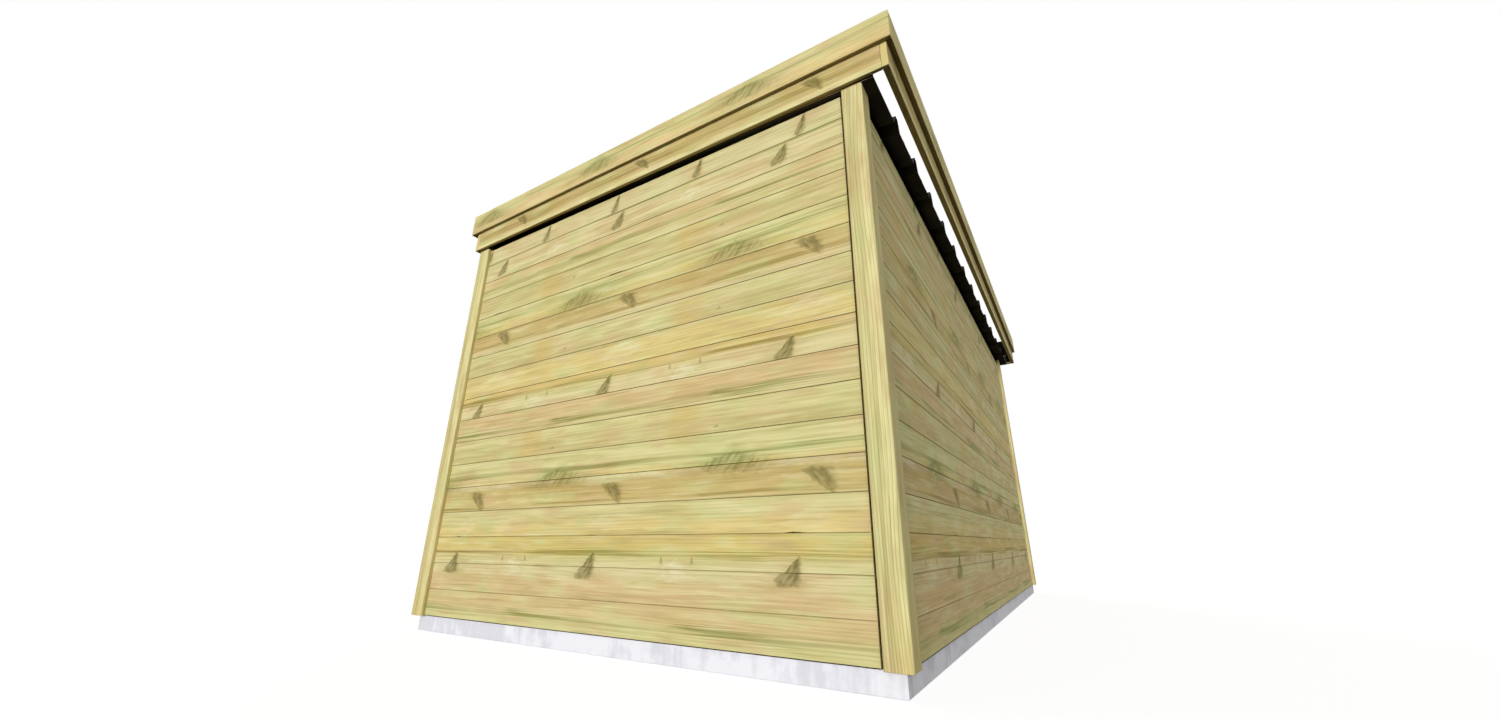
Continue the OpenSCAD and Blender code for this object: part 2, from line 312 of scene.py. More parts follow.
def treatedTimber():
    material, tree, skin = newMaterial("treatedTimber")
    uv = addNode(tree, "UVMap", uv_map="grain").outputs[0]

    def own(name):
        return addNode(tree, "Attribute", attribute_name=name).outputs["Vector"]

    def laid(tint, mask, name, share=None):
        # one of the pine's tones over a colour, where the mask is
        share = pine["shares"][name] if share is None else share
        return blendColour(tree, calc(tree, "MULTIPLY", mask, share), tint, colour(pine[name]))

    splitAt, borderWide, board = splitVector(tree, own("toneSplit"))
    warmth, mossGain, lift = splitVector(tree, own("flow"))
    streakAt, streakHalf, brown = splitVector(tree, own("streak"))
    endCut, drip, ringShare = splitVector(tree, own("faceRole"))
    along, across = splitVector(tree, uv)[:2]
    marks = {}
    for label, looks in pine["marks"].items():
        places = {"Place": uv, "Centre": own(label + "Place"), "Shape": own(label + "Shape")}
        marks[label] = useGroup(tree, timberMark, dict(places, **looks))
    bent = calc(tree, "ADD", across, marks["knot"]["Bend"])
    place = joinVector(tree, along, bent, board)
    grain = useGroup(tree, timberGrain, {"Place": place, "Line Scale": pine["lineScale"]})
    cloud = calc(tree, "SUBTRACT", grain["Cloud"], 0.5)
    patch = calc(tree, "SUBTRACT", grain["Patch"], 0.5)

    # two tones across the board, with a cloudy border and patches of other tones
    border = calc(tree, "DIVIDE", calc(tree, "SUBTRACT", bent, splitAt), borderWide)
    border = calc(tree, "MULTIPLY_ADD", cloud, 2.4, border)
    border = calc(tree, "MULTIPLY_ADD", patch, 1.6, border)
    tint = blendColour(tree, ramp(tree, border, -1.0, 1.0), own("toneLow"), own("toneHigh"))
    for name, (part, full) in pine["clouds"].items():
        tint = laid(tint, ramp(tree, grain[part], 0.5, full), name)
    tint = laid(tint, ramp(tree, grain["Cloud"], 0.25, 0.55), "warm", warmth)
    tint = laid(tint, marks["bleach"]["Core"], "bleached")

    # dark streak along the board, and green stains
    wave = calc(tree, "SUBTRACT", noise(tree, place, pine["streakNoise"]), 0.5)
    line = calc(tree, "MULTIPLY_ADD", wave, pine["streakSway"], calc(tree, "ADD", streakAt, lift))
    off = calc(tree, "ABSOLUTE", calc(tree, "DIVIDE", calc(tree, "SUBTRACT", bent, line), streakHalf))
    feather = calc(tree, "MULTIPLY_ADD", grain["Lines"], -0.9, calc(tree, "MULTIPLY_ADD", patch, -1.2, off))
    moss = calc(tree, "MULTIPLY", ramp(tree, feather, 0.7, -0.4), mossGain)
    moss = calc(tree, "MAXIMUM", moss, calc(tree, "MULTIPLY", marks["stain"]["Halo"], pine["stainHalo"]))
    shade = blendColour(tree, brown, colour(pine["greenShade"]), colour(pine["brownShade"]))
    tint = blendColour(tree, moss, tint, blendColour(tree, 1.0, tint, shade, "MULTIPLY"))
    tint = laid(tint, marks["stain"]["Core"], "leaf")

    # growth lines, dashes, rings and knots, then the painted shade of cracks, end cuts and painted shade on
    # undersides
    shares = dict(pine["shares"], ringShade=ringShare)
    for part, name in (("Lines", "lineShade"), ("Dashes", "dashShade"), ("Rings", "ringShade")):
        shade = blendColour(tree, 1.0, tint, colour(pine[name]), "MULTIPLY")
        tint = blendColour(tree, calc(tree, "MULTIPLY", grain[part], shares[name]), tint, shade)
    tint = laid(tint, marks["knot"]["Halo"], "knotRing")
    tint = laid(tint, marks["knot"]["Core"], "knot")
    # a knot's strength over one darkens it to a crack: painted shade in the opening
    crackShadeMask = calc(tree, "MAXIMUM", calc(tree, "SUBTRACT", marks["knot"]["Core"], 1.0), 0.0)
    for mask, name in ((crackShadeMask, "crack"), (endCut, "endCut"), (drip, "drip")):
        tint = blendColour(tree, mask, tint, colour(pine[name]))
    level = calc(tree, "MULTIPLY_ADD", grain["Fibre"], 0.22, 0.89)
    level = calc(tree, "MULTIPLY", level, calc(tree, "MULTIPLY_ADD", cloud, 0.18, 1.0))
    tree.links.new(shadeBy(tree, tint, level), skin["Base Color"])
    rough = calc(tree, "MULTIPLY_ADD", grain["Fibre"], 0.14, pine["roughness"])
    tree.links.new(rough, skin["Roughness"])
    skin["Specular IOR Level"].default_value = pine["shine"]
    height = calc(tree, "MULTIPLY_ADD", grain["Lines"], 0.6, grain["Fibre"])
    addBump(tree, skin, height, 0.15, 0.0008)
    return material


# Sawn framing timber, grain along one axis of the object
sawn = {
    "tint": (196, 170, 116),
    "shade": (168, 142, 92),
    "lineScale": 70.0,
    "roughness": 0.7,
    "shine": 0.15,
}


def sawnTimber(axis):
    material, tree, skin = newMaterial("sawnTimber" + axis)
    body = splitVector(tree, addNode(tree, "TexCoord").outputs["Object"])
    order = {"X": (0, 1, 2), "Y": (1, 2, 0), "Z": (2, 0, 1)}[axis]
    run, side, rise = (body[i] for i in order)
    mixed = calc(tree, "MULTIPLY_ADD", rise, 0.7, side)
    place = joinVector(tree, run, mixed, calc(tree, "MULTIPLY", rise, 0.4))
    grain = useGroup(tree, timberGrain, {"Place": place, "Line Scale": sawn["lineScale"]})
    tint = blendColour(tree, grain["Lines"], colour(sawn["tint"]), colour(sawn["shade"]))
    level = calc(tree, "MULTIPLY_ADD", grain["Fibre"], 0.3, 0.82)
    tree.links.new(shadeBy(tree, tint, level), skin["Base Color"])
    rough = calc(tree, "MULTIPLY_ADD", grain["Fibre"], 0.15, sawn["roughness"])
    tree.links.new(rough, skin["Roughness"])
    skin["Specular IOR Level"].default_value = sawn["shine"]
    addBump(tree, skin, grain["Fibre"], 0.35, 0.001)
    return material


treatedPine = treatedTimber()
sawnPine = {axis: sawnTimber(axis) for axis in "XYZ"}
print("timber materials made")


# Timber surfaces
def easedSection(width, depth, radius, inset=0.0, steps=5):
    # rectangle with quarter-circle corners: corner centre + radius * (cos, sin), outer face at n = 0
    turn = np.radians(np.linspace(0, 90, steps + 1))
    lead = np.radians([180, 90, 0, -90])[:, None] - turn
    v = np.array([radius, width - radius, width - radius, radius])[:, None]
    n = np.array([-radius, -radius, radius - depth, radius - depth])[:, None]
    r = max(radius - inset, radius * 0.2)
    return np.stack([v + r * np.cos(lead), n + r * np.sin(lead)], -1).reshape(-1, 2)


def easedRings(width, depth, radius, length, step, draw=0.001):
    # one section per station, drawn in at both ends so that the end edges are eased too
    inner = np.linspace(draw, length - draw, max(2, int(round(length / step)) + 1))
    stations = np.concatenate([[0.0], inner, [length]])
    insets = np.concatenate([[draw], np.zeros(len(inner)), [draw]])
    rings = np.stack([easedSection(width, depth, radius, inset) for inset in insets])
    return rings, stations


def ringQuads(count, around):
    # quads between neighbouring rings, and the station and point that each starts from
    s, p = (grid.ravel() for grid in np.meshgrid(np.arange(count - 1), np.arange(around), indexing="ij"))
    q = (p + 1) % around
    quads = np.stack([s * around + p, (s + 1) * around + p, (s + 1) * around + q, s * around + q], -1)
    return quads, s, p


def ringCaps(count, around):
    return [list(range(around)), list(range(count * around - 1, (count - 1) * around - 1, -1))]


def makePiece(name, points, faces, materials, slot, *nodes):
    # a mesh that rides on the shed and stands for the CAD nodes named
    mesh = bpy.data.meshes.new(name)
    mesh.from_pydata(points.reshape(-1, 3).tolist(), [], faces)
    for material in materials:
        mesh.materials.append(material)
    piece = bpy.data.objects.new(name, mesh)
    bpy.context.scene.collection.objects.link(piece)
    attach(piece, "root")
    if nodes:
        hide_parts(*nodes)
    return mesh


def timberRun(rings, stations, origin, axes, uStart, kind, seed):
    # a section carried along a straight path: origin + along*t + across*v + out*n
    along, across, out = axes
    section = rings[len(rings) // 2]
    points = (origin + stations[:, None, None] * along
              + rings[:, :, :1] * across + rings[:, :, 1:] * out)
    closed = np.vstack([section, section[:1]])
    edge = np.diff(closed, axis=0)
    long = np.linalg.norm(edge, axis=1)
    girth = np.concatenate([[0], np.cumsum(long)])
    first = int(np.argmax(section[:, 1] > -1e-7))
    girth += section[first, 0] - girth[first]
    u = stations + uStart
    count, around = len(stations), len(section)
    quads, s, p = ringQuads(count, around)
    uv = np.stack([
        np.stack([u[s], u[s + 1], u[s + 1], u[s]], -1),
        np.stack([girth[p], girth[p], girth[p + 1], girth[p + 1]], -1),
    ], -1)
    values = kindValues(kind, u, seed)
    faces = {key: np.vstack([np.repeat(value, around, axis=0), value[[0, -1]]])
             for key, value in values["face"].items()}
    # faces that look down take painted shade, up to this share
    down = np.clip((edge[:, 1] * across[2] - edge[:, 0] * out[2]) / long, 0, 1) * kind.get("drip", 0.7)
    sides = np.stack([np.zeros(len(p)), down[p], np.full(len(p), kind.get("rings", 0.0))], -1)
    faces["faceRole"] = np.vstack([sides, np.tile([1.0, 0.0, 0.0], (2, 1))])
    return {
        "points": points.reshape(-1, 3),
        "quads": quads,
        "caps": ringCaps(count, around),
        "uv": np.vstack([uv.reshape(-1, 2), section, section[::-1]]),
        "face": faces,
        "flow": np.repeat(values["flow"], around, axis=0),
    }


def timberPiece(name, runs, node):
    # joins the runs into one mesh and stores their values
    faces, start = [], 0
    for run in runs:
        faces += (run["quads"] + start).tolist()
        faces += [[i + start for i in cap] for cap in run["caps"]]
        start += len(run["points"])
    points = np.vstack([run["points"] for run in runs])
    mesh = makePiece(name, points, faces, [treatedPine], "treated_timber", node)
    uv = np.vstack([run["uv"] for run in runs])
    mesh.uv_layers.new(name="grain").data.foreach_set("uv", uv.astype(np.float32).ravel())
    layers = {key: ("FACE", np.vstack([run["face"][key] for run in runs])) for key in runs[0]["face"]}
    layers["flow"] = ("POINT", np.vstack([run["flow"] for run in runs]))
    for key, (domain, values) in layers.items():
        layer = mesh.attributes.new(key, "FLOAT_VECTOR", domain)
        layer.data.foreach_set("vector", values.astype(np.float32).ravel())


# Kinds of board, as they come from the timber yard
tones = {
    "cream": (221, 209, 155),
    "leafGreen": (217, 208, 147),
    "pink": (218, 194, 140),
    "peach": (231, 208, 148),
    "sunny": (224, 205, 136),
    "gold": (217, 196, 124),
    "brown": (207, 184, 122),
    "olive": (206, 194, 134),
    "straw": (234, 224, 164),
    "hay": (219, 207, 147),
}
# tones run from the lower to the upper edge, places are shares of the board's width and of the repeat
# streak: height, half width and strength; streakRun: start, length at full, whole length and what rests
# marks: place along and across, strength, lean, half height and half width in mm; a strength over one adds a
# crack's painted shade
boardKinds = {
    "pinkStreak": {"high": "pink", "low": "leafGreen", "split": 0.42, "streak": (0.41, 0.15, 1.0),
                   "streakRun": (0.88, 0.26, 0.75, 0.28), "streakLift": 0.09},
    "pinkEarly": {"high": "pink", "low": "leafGreen", "split": 0.42, "streak": (0.37, 0.15, 1.0),
                  "streakRun": (0.745, 0.26, 0.75, 0.28), "streakLift": 0.09},
    "pinkCream": {"high": "cream", "low": "pink", "split": 0.62,
                  "knots": [(0.262, 1.03, 0.9, 0.6, 44, 60)], "bleaches": [(0.755, 0.84, 0.8, 0, 24, 100)]},
    "goldLine": {"high": "gold", "low": "cream", "split": 0.64, "streak": (0.70, 0.13, 0.95),
                 "streakRun": (0.84, 0.45, 0.85, 0.45), "streakBrown": 0.8,
                 "knots": [(0.262, 0.30, 0.95, 0.6, 44, 42), (0.670, 0.53, 0.6, 0, 12, 8),
                           (0.839, 0.53, 0.6, 0, 12, 8)], "bleaches": [(0.755, 0.28, 0.9, 0, 34, 110)]},
    "beige": {"high": "leafGreen", "low": "sunny", "split": 0.50,
              "knots": [(0.274, 0.016, 2.0, 0, 2.6, 46)], "bleaches": [(0.330, 0.42, 0.4, 0.7, 34, 110)]},
    "sunnyBoard": {"high": "olive", "low": "sunny", "split": 0.88,
                   "bleaches": [(0.370, 0.62, 0.5, 0.7, 40, 170)]},
    "brownKnot": {"high": "brown", "low": "cream", "split": 0.24, "streak": (0.33, 0.12, 0.8),
                  "streakRun": (0.82, 0.40, 0.75, 0.3), "streakBrown": 1.0,
                  "knots": [(0.392, 0.58, 0.8, -0.75, -42, 58)],
                  "stains": [(0.005, 1.30, 1.0, 0.4, 36, 200)], "bleaches": [(0.5, 1.12, 0.6, 0, 16, 700)]},
    "leafStain": {"high": "leafGreen", "low": "sunny", "split": 0.42, "streak": (0.62, 0.13, 0.8),
                  "streakRun": (0.84, 0.50, 0.85, 0.4), "stains": [(0.005, 0.34, 1.0, 0.4, 36, 200)]},
    "plain": {"high": "leafGreen", "low": "olive", "split": 0.50, "warm": 0.6,
              "knots": [(0.936, 0.28, 0.5, 0.5, 6, 14)]},
    "plainLow": {"high": "olive", "low": "leafGreen", "split": 0.20, "warm": 0.6,
                 "knots": [(0.936, 0.55, 0.5, 0.5, 6, 14), (0.28, 0.014, 1.5, 0, 2.4, 66)]},
    "creamKnot": {"high": "cream", "low": "cream", "split": 0.50, "streak": (0.97, 0.11, 0.8),
                  "knots": [(0.262, 0.53, 0.95, 0.6, 45, 42)], "bleaches": [(0.755, 0.46, 0.9, 0, 34, 110)]},
    "slimKnots": {"high": "cream", "low": "cream", "split": 0.50, "repeat": 0.489,
                  "knots": [(0.158, 0.45, 0.95, 0.36, 46, 26)]},
}
# from the bottom board up: the kind, and how far its pattern is shifted across the board
boardOrder = [
    ("pinkEarly", 0.0), ("pinkCream", 0.0), ("goldLine", -0.27), ("beige", 0.0), ("brownKnot", -0.2),
    ("leafStain", -0.27), ("plain", -0.05), ("pinkStreak", -0.18), ("goldLine", 0.0), ("sunnyBoard", 0.0),
    ("plain", 0.0), ("brownKnot", 0.0), ("leafStain", 0.0), ("plainLow", 0.0), ("pinkStreak", 0.05),
    ("creamKnot", 0.0), ("slimKnots", 0.0),
]
pattern = {
    "repeat": 0.863,  # metres between like knots along a board
    "warmSpot": (0.763, 0.075),  # shares of the repeat: a warm patch and its half width
    "streakStart": 0.05,
    "liftRun": 0.16,
    "border": 0.22,  # share of the width over which two tones mix
    "toneDrift": 0.012,
    "grainStep": 1.37,  # from one board's grain to the next
    "warmth": 0.15,
    "footWarmth": 0.35,
    "markPlay": (0.003, 0.001, 0.05, 0.03, 0.05),  # metres along and across, then shares of lean and halves
}


def spreadMarks(kind, label, u, rng):
    # repeats the marks along the board: place = share of the repeat + whole repeats, with a little play
    rows = [np.array([[-99.0, 0.0, 0.0, 0.0, 1.0, 1.0]])]
    width, repeat = kind["width"], kind.get("repeat", pattern["repeat"])
    turns = np.arange(math.floor(u[0] / repeat) - 1, math.ceil(u[-1] / repeat) + 1)
    alongPlay, acrossPlay, leanPlay, tallPlay, widePlay = pattern["markPlay"]
    for share, height, strength, lean, halfTall, halfWide in kind.get(label, []):
        play = rng.normal(0, 1, (len(turns), 3))
        rows.append(np.stack([
            (turns + share) * repeat + alongPlay * play[:, 0],
            (height + kind.get("shift", 0.0)) * width + acrossPlay * play[:, 1],
            np.full(len(turns), strength),
            lean * (1 + leanPlay * play[:, 2]),
            halfTall / 1000 * (1 + tallPlay * play[:, 0]),
            halfWide / 1000 * (1 + widePlay * play[:, 1]),
        ], -1))
    return np.vstack(rows)


def kindValues(kind, u, seed):
    # every face takes the mark whose place is nearest to it along the board
    rng = np.random.default_rng(seed)
    width, shift = kind["width"], kind.get("shift", 0.0)
    middle = (u[:-1] + u[1:]) / 2
    drift = 1 + rng.normal(0, pattern["toneDrift"], 3)
    centre, half, strength = kind.get("streak", (0.5, 0.1, 0.0))
    border = kind.get("border", pattern["border"])
    rows = {
        "toneHigh": linear(tones[kind["high"]]) * drift,
        "toneLow": linear(tones[kind["low"]]) * drift,
        "toneSplit": [(kind["split"] + shift) * width, border * width, seed * pattern["grainStep"]],
        "streak": [(centre + shift) * width, half * width, kind.get("streakBrown", 0.0)],
    }
    face = {key: np.tile(row, (len(middle), 1)) for key, row in rows.items()}
    for label, plural in (("knot", "knots"), ("stain", "stains"), ("bleach", "bleaches")):
        marks = spreadMarks(kind, plural, u, rng)
        nearest = marks[np.abs(middle[:, None] - marks[:, 0]).argmin(1)]
        face[label + "Place"] = nearest[:, :3]
        face[label + "Shape"] = nearest[:, 3:]
    phase = (u / pattern["repeat"]) % 1
    warmAt, warmHalf = pattern["warmSpot"]
    warm = np.clip(1.6 - np.abs(phase - warmAt) / warmHalf, 0, 1) * kind.get("warm", pattern["warmth"])
    if "warmFoot" in kind:
        warm = pattern["footWarmth"] * np.clip(1 - (u - u[0]) / kind["warmFoot"], 0, 1)
    # the streak starts sharply and a little higher, stays, fades away and leaves a rest
    start, full, end, rest = kind.get("streakRun", (0.0, 0.5, 1.0, 0.6))
    since = (phase - start) % 1
    rise = np.clip(since / pattern["streakStart"], 0, 1)
    gain = rest + (1 - rest) * rise * np.clip((end - since) / (end - full), 0, 1)
    lift = kind.get("streakLift", 0.0) * width * np.clip(1 - since / pattern["liftRun"], 0, 1)
    return {"face": face, "flow": np.stack([warm, gain * strength, lift], -1)}


# Cladding: tongue-and-groove boards with a small V joint
cladding = {
    "cover": 0.112,  # width that shows
    "chamfer": 0.0014,
    "joint": 0.0014,
    "tongueLong": 0.006,
    "tongueFront": 0.006,  # depths from the outer face
    "tongueBack": 0.0105,
    "play": 0.0004,
    "footGap": 0.002,  # under the lowest board
    "reach": 0.0025,  # past the panel's ends, towards the posts
    "step": 0.045,  # length of a mesh cell along a board
}
walls = {  # directions along the wall, left to right from outside, and outwards; where the repeat starts
    "front": {"along": xAxis, "out": -yAxis, "uStart": 0.0782},
    "right": {"along": yAxis, "out": xAxis, "uStart": 0.3707},
    "back": {"along": -xAxis, "out": yAxis, "uStart": 0.5300},
    "left": {"along": -yAxis, "out": -xAxis, "uStart": 0.1900},
}


def boardSection(width, thick, base, trimmed):
    # outline of a board: outer face with chamfers, tongue, inner face, groove
    c = cladding
    high = width - c["joint"] / 2
    tip, groove = width + c["tongueLong"], c["tongueLong"] + 4 * c["play"]
    front, back = -c["tongueFront"], -c["tongueBack"]
    face = [(base, -c["chamfer"]), (base + c["chamfer"], 0), (high - c["chamfer"], 0), (high, -c["chamfer"])]
    tongue = [(high, front), (tip, front), (tip, back), (high, back)]
    inner = [(high, -thick), (base, -thick)]
    slot = [(base, back - c["play"]), (groove, back - c["play"]),
            (groove, front + c["play"]), (base, front + c["play"])]
    return np.array(face + ([] if trimmed else tongue) + inner + slot)


def wallFace(node, side):
    # left bottom corner of the node's outer face, seen from outside, and its length, thickness and height
    along, out = walls[side]["along"], walls[side]["out"]
    low, high = (np.array(corner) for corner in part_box(node))
    origin = np.where(along - out > 0, low, high)
    origin[2] = low[2]
    size = high - low
    return origin, abs(size @ along), abs(size @ out), size[2]


def claddingWall(side, number):
    wall = walls[side]
    node = side + "_cladding"
    origin, length, thick, tall = wallFace(node, side)
    axes = (wall["along"], zAxis, wall["out"])
    reach = cladding["reach"]
    stations = np.linspace(-reach, length + reach, int(round(length / cladding["step"])) + 1)
    runs = []
    for index, (name, shift) in enumerate(boardOrder):
        foot = index * cladding["cover"]
        trimmed = foot + cladding["cover"] > tall - 1e-4
        width = min(cladding["cover"], tall - foot)
        base = cladding["joint"] / 2 if index else cladding["footGap"]
        section = boardSection(width, thick, base, trimmed)
        rings = np.repeat(section[None], len(stations), axis=0)
        kind = dict(boardKinds[name], width=cladding["cover"], shift=shift)
        start = origin + foot * zAxis
        runs.append(timberRun(rings, stations, start, axes, wall["uStart"], kind, 100 * number + index))
    timberPiece(side + "_boards", runs, node)


for number, side in enumerate(walls, 1):
    claddingWall(side, number)
print("cladding boards laid on", len(walls), "walls")


# Corner posts: square timber with eased arrises and straight vertical grain
post = {
    "arris": 0.007,
    "step": 0.12,
    "grainShift": 0.3,  # metres from one post's grain to the next
    "kind": {"high": "hay", "low": "straw", "split": 0.5, "streak": (0.62, 0.14, 0.3), "rings": 0.44,
             "warmFoot": 0.25},
}


def cornerPost(name, number):
    node = name + "_post"
    low, high = (np.array(corner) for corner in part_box(node))
    width, depth, tall = high - low
    rings, stations = easedRings(width, depth, post["arris"], tall, post["step"])
    origin = np.array([high[0], low[1], low[2]])
    kind = dict(post["kind"], width=width)
    axes = (zAxis, -xAxis, -yAxis)
    run = timberRun(rings, stations, origin, axes, post["grainShift"] * number, kind, 500 + number)
    timberPiece(node + "_timber", [run], node)


for number, name in enumerate(("front_right", "front_left", "back_right", "back_left"), 1):
    cornerPost(name, number)
print("posts made")


# Fascia boards: two rings, the upper nailed outside the lower
fascia = {
    "arris": 0.003,
    "endGap": 0.0008,
    "step": 0.05,
    "grainShift": -0.08,  # metres from the grain of the wall below
    "lower": {"high": "brown", "low": "straw", "split": 0.17, "border": 0.06, "streak": (0.42, 0.17, 0.8),
              "streakBrown": 1.0, "drip": 0.4, "knots": [(0.455, 0.44, 0.85, -0.9, -36, 46)]},
    "upper": {"high": "leafGreen", "low": "peach", "split": 0.46, "border": 0.1, "streak": (0.66, 0.08, 0.7),
              "stains": [(0.18, 0.52, 1.0, 0.4, 38, 180)]},
}


def fasciaBoard(side, ring, number):
    wall = walls[side]
    node = side + "_" + ring + "_fascia"
    origin, length, thick, tall = wallFace(node, side)
    gap = fascia["endGap"]
    rings, stations = easedRings(tall, thick, fascia["arris"], length - 2 * gap, fascia["step"])
    kind = dict(fascia[ring], width=tall)
    axes = (wall["along"], zAxis, wall["out"])
    start = origin + gap * wall["along"]
    run = timberRun(rings, stations, start, axes, wall["uStart"] + fascia["grainShift"], kind, 700 + number)
    timberPiece(node + "_board", [run], node)


for number, (side, ring) in enumerate((s, r) for s in walls for r in ("lower", "upper")):
    fasciaBoard(side, ring, number)
print("fascia boards made")


# Slab: pale cast concrete with eased edges
slab = {
    "arris": 0.003,
    "step": 0.4,
    "pale": (241, 240, 244),
    "grey": (222, 221, 227),
    "stain": (205, 203, 209),
    "leftGrey": 0.09,  # what the left end adds to the grey patches
    "cloud": (7.0, 7.0, 9.0),  # noise scales
    "brush": (26.0, 26.0, 3.0),
    "spot": (34.0, 34.0, 40.0),
    "pores": (160.0, 160.0, 160.0),
    "roughness": 0.85,
    "shine": 0.15,
}


def paleConcrete():
    material, tree, skin = newMaterial("paleConcrete")
    place = addNode(tree, "TexCoord").outputs["Object"]
    cloud = noise(tree, place, slab["cloud"], detail=4.0, rough=0.6)
    brush = noise(tree, place, slab["brush"], detail=3.0, rough=0.6, shift=(3.0, 1.0, 5.0))
    spot = noise(tree, place, slab["spot"], detail=3.0, rough=0.65, shift=(1.0, 8.0, 2.0))
    patch = calc(tree, "ADD", calc(tree, "MULTIPLY", cloud, 0.6), calc(tree, "MULTIPLY", brush, 0.4))
    across = splitVector(tree, place)[0]
    patch = calc(tree, "ADD", patch, ramp(tree, across, 0.3, -0.9, 0.0, slab["leftGrey"]))
    tint = blendColour(tree, ramp(tree, patch, 0.46, 0.62), colour(slab["pale"]), colour(slab["grey"]))
    tint = blendColour(tree, ramp(tree, spot, 0.60, 0.95), tint, colour(slab["stain"]))
    tree.links.new(tint, skin["Base Color"])
    skin["Roughness"].default_value = slab["roughness"]
    skin["Specular IOR Level"].default_value = slab["shine"]
    pores = noise(tree, place, slab["pores"], detail=3.0)
    addBump(tree, skin, calc(tree, "MULTIPLY_ADD", pores, 0.4, spot), 0.25, 0.0015)
    return material


def castSlab():
    # rounded section carried from front to back
    low, high = (np.array(corner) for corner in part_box("base_slab"))
    width, depth, tall = high - low
    rings, stations = easedRings(width, tall, slab["arris"], depth, slab["step"])
    origin = np.array([high[0], low[1], high[2]])
    points = (origin + stations[:, None, None] * yAxis - rings[:, :, :1] * xAxis + rings[:, :, 1:] * zAxis)
    count, around = rings.shape[:2]
    faces = ringQuads(count, around)[0].tolist() + ringCaps(count, around)
    makePiece("cast_slab", points, faces, [paleConcrete()], "concrete", "base_slab")


castSlab()
print("slab cast")


# Framing timbers keep their CAD shape
framing = {
    "X": ["front_sole_plate", "back_sole_plate", "front_top_plate", "back_top_plate", "front_firring",
          "back_firring", "front_ledger", "back_ledger", "front_verge_batten", "back_verge_batten"],
    "Y": ["right_sole_plate", "left_sole_plate", "right_top_plate", "left_top_plate", "left_packer",
          "right_purlin", "middle_purlin", "left_purlin"],
    "Z": ["front_studs", "back_studs", "right_studs", "left_studs"],
}
for axis, nodes in framing.items():
    for node in nodes:
        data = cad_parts[node].data
        data.materials.clear()
        data.materials.append(sawnPine[axis])
print("framing timber dressed")


# Roof sheets: near-black folded steel
roof = {
    "ribStart": 0.270,  # first rib from the slab's front edge
    "ribPitch": 0.286,
    "ribHigh": 0.052,
    "ribTop": 0.028,
    "ribFoot": 0.074,
    "bend": 0.005,
    "sheet": 0.0008,
    "upstand": 0.090,
    "edgeRoom": 0.03,  # clear of a turned-up edge
    "lap": 0.035,
    "lapRise": (0.012, 0.006),  # where a sheet starts and ends its step up to a lap
    "swageHigh": 0.0025,
    "swageWide": 0.016,
    "cloud": (3.0, 3.0, 3.0),  # noise scales
    "speck": (220.0, 220.0, 220.0),
    "coats": {  # colour, roughness and shine
        "roofBlack": ((30, 29, 27), 0.55, 0.25),
        "roofBacking": ((66, 63, 60), 0.95, 0.0),
        # near-black outside of the turned-up edges: painted shade for the gap behind the fascias
        "roofEdgeShade": ((15, 14, 13), 0.95, 0.0),
    },
}


def roofCoat(name, tint, rough, shine):
    material, tree, skin = newMaterial(name)
    place = addNode(tree, "TexCoord").outputs["Object"]
    cloud = noise(tree, place, roof["cloud"], detail=4.0, rough=0.6)
    speck = noise(tree, place, roof["speck"])
    dusty = colour(np.array(tint) * 1.35)
    tree.links.new(blendColour(tree, ramp(tree, cloud, 0.4, 0.75), colour(tint), dusty), skin["Base Color"])
    tree.links.new(calc(tree, "MULTIPLY_ADD", cloud, 0.2, rough - 0.1), skin["Roughness"])
    skin["Specular IOR Level"].default_value = shine
    addBump(tree, skin, speck, 0.1, 0.0003)
    return material


def filletPath(points, radius, steps=3):
    # each corner becomes a curve (1-t)^2 A + 2t(1-t) C + t^2 B between points A and B beside it
    before, corner, after = points[:-2], points[1:-1], points[2:]
    inward, outward = before - corner, after - corner
    inLong = np.linalg.norm(inward, axis=1, keepdims=True)
    outLong = np.linalg.norm(outward, axis=1, keepdims=True)
    reach = np.minimum(radius, 0.45 * np.minimum(inLong, outLong))
    a = (corner + inward / inLong * reach)[:, None]
    b = (corner + outward / outLong * reach)[:, None]
    c = corner[:, None]
    t = np.linspace(0, 1, steps + 1)[None, :, None]
    curve = (1 - t) ** 2 * a + 2 * t * (1 - t) * c + t ** 2 * b
    return np.vstack([points[:1], curve.reshape(-1, 2), points[-1:]])


def sheetPath(near, far, ribs, turnedNear, turnedFar):
    # underside from near to far: pans with two shallow swages between ribs, turned-up or lapped edges
    r = roof
    half = np.array([[-r["ribFoot"] / 2, 0], [-r["ribTop"] / 2, r["ribHigh"]],
                     [r["ribTop"] / 2, r["ribHigh"]], [r["ribFoot"] / 2, 0]])
    swage = np.array([[-r["swageWide"], 0], [-r["swageWide"] / 2, r["swageHigh"]],
                      [r["swageWide"] / 2, r["swageHigh"]], [r["swageWide"], 0]])
    centres = (np.array(ribs)[:-1, None] + np.array([1, 2]) / 3 * r["ribPitch"]).ravel()
    ribPoints = (half[None] + np.stack([ribs, np.zeros(len(ribs))], -1)[:, None]).reshape(-1, 2)
    swagePoints = (swage[None] + np.stack([centres, np.zeros(len(centres))], -1)[:, None]).reshape(-1, 2)
    middle = np.vstack([ribPoints, swagePoints])
    middle = middle[np.argsort(middle[:, 0], kind="stable")]
    start = [[near, r["upstand"]], [near, 0]] if turnedNear else [[near, 0]]
    step = 1.5 * r["sheet"]
    riseStart, riseEnd = r["lapRise"]
    over = [[far - riseStart, 0], [far - riseEnd, step], [far + r["lap"], step]]
    end = [[far, 0], [far, r["upstand"]]] if turnedFar else over
    return filletPath(np.vstack([start, middle, end]), r["bend"])


sheetNames = ("front", "middle", "back")
sheetBoxes = {name: np.array(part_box("roof_sheet_" + name)) for name in sheetNames}


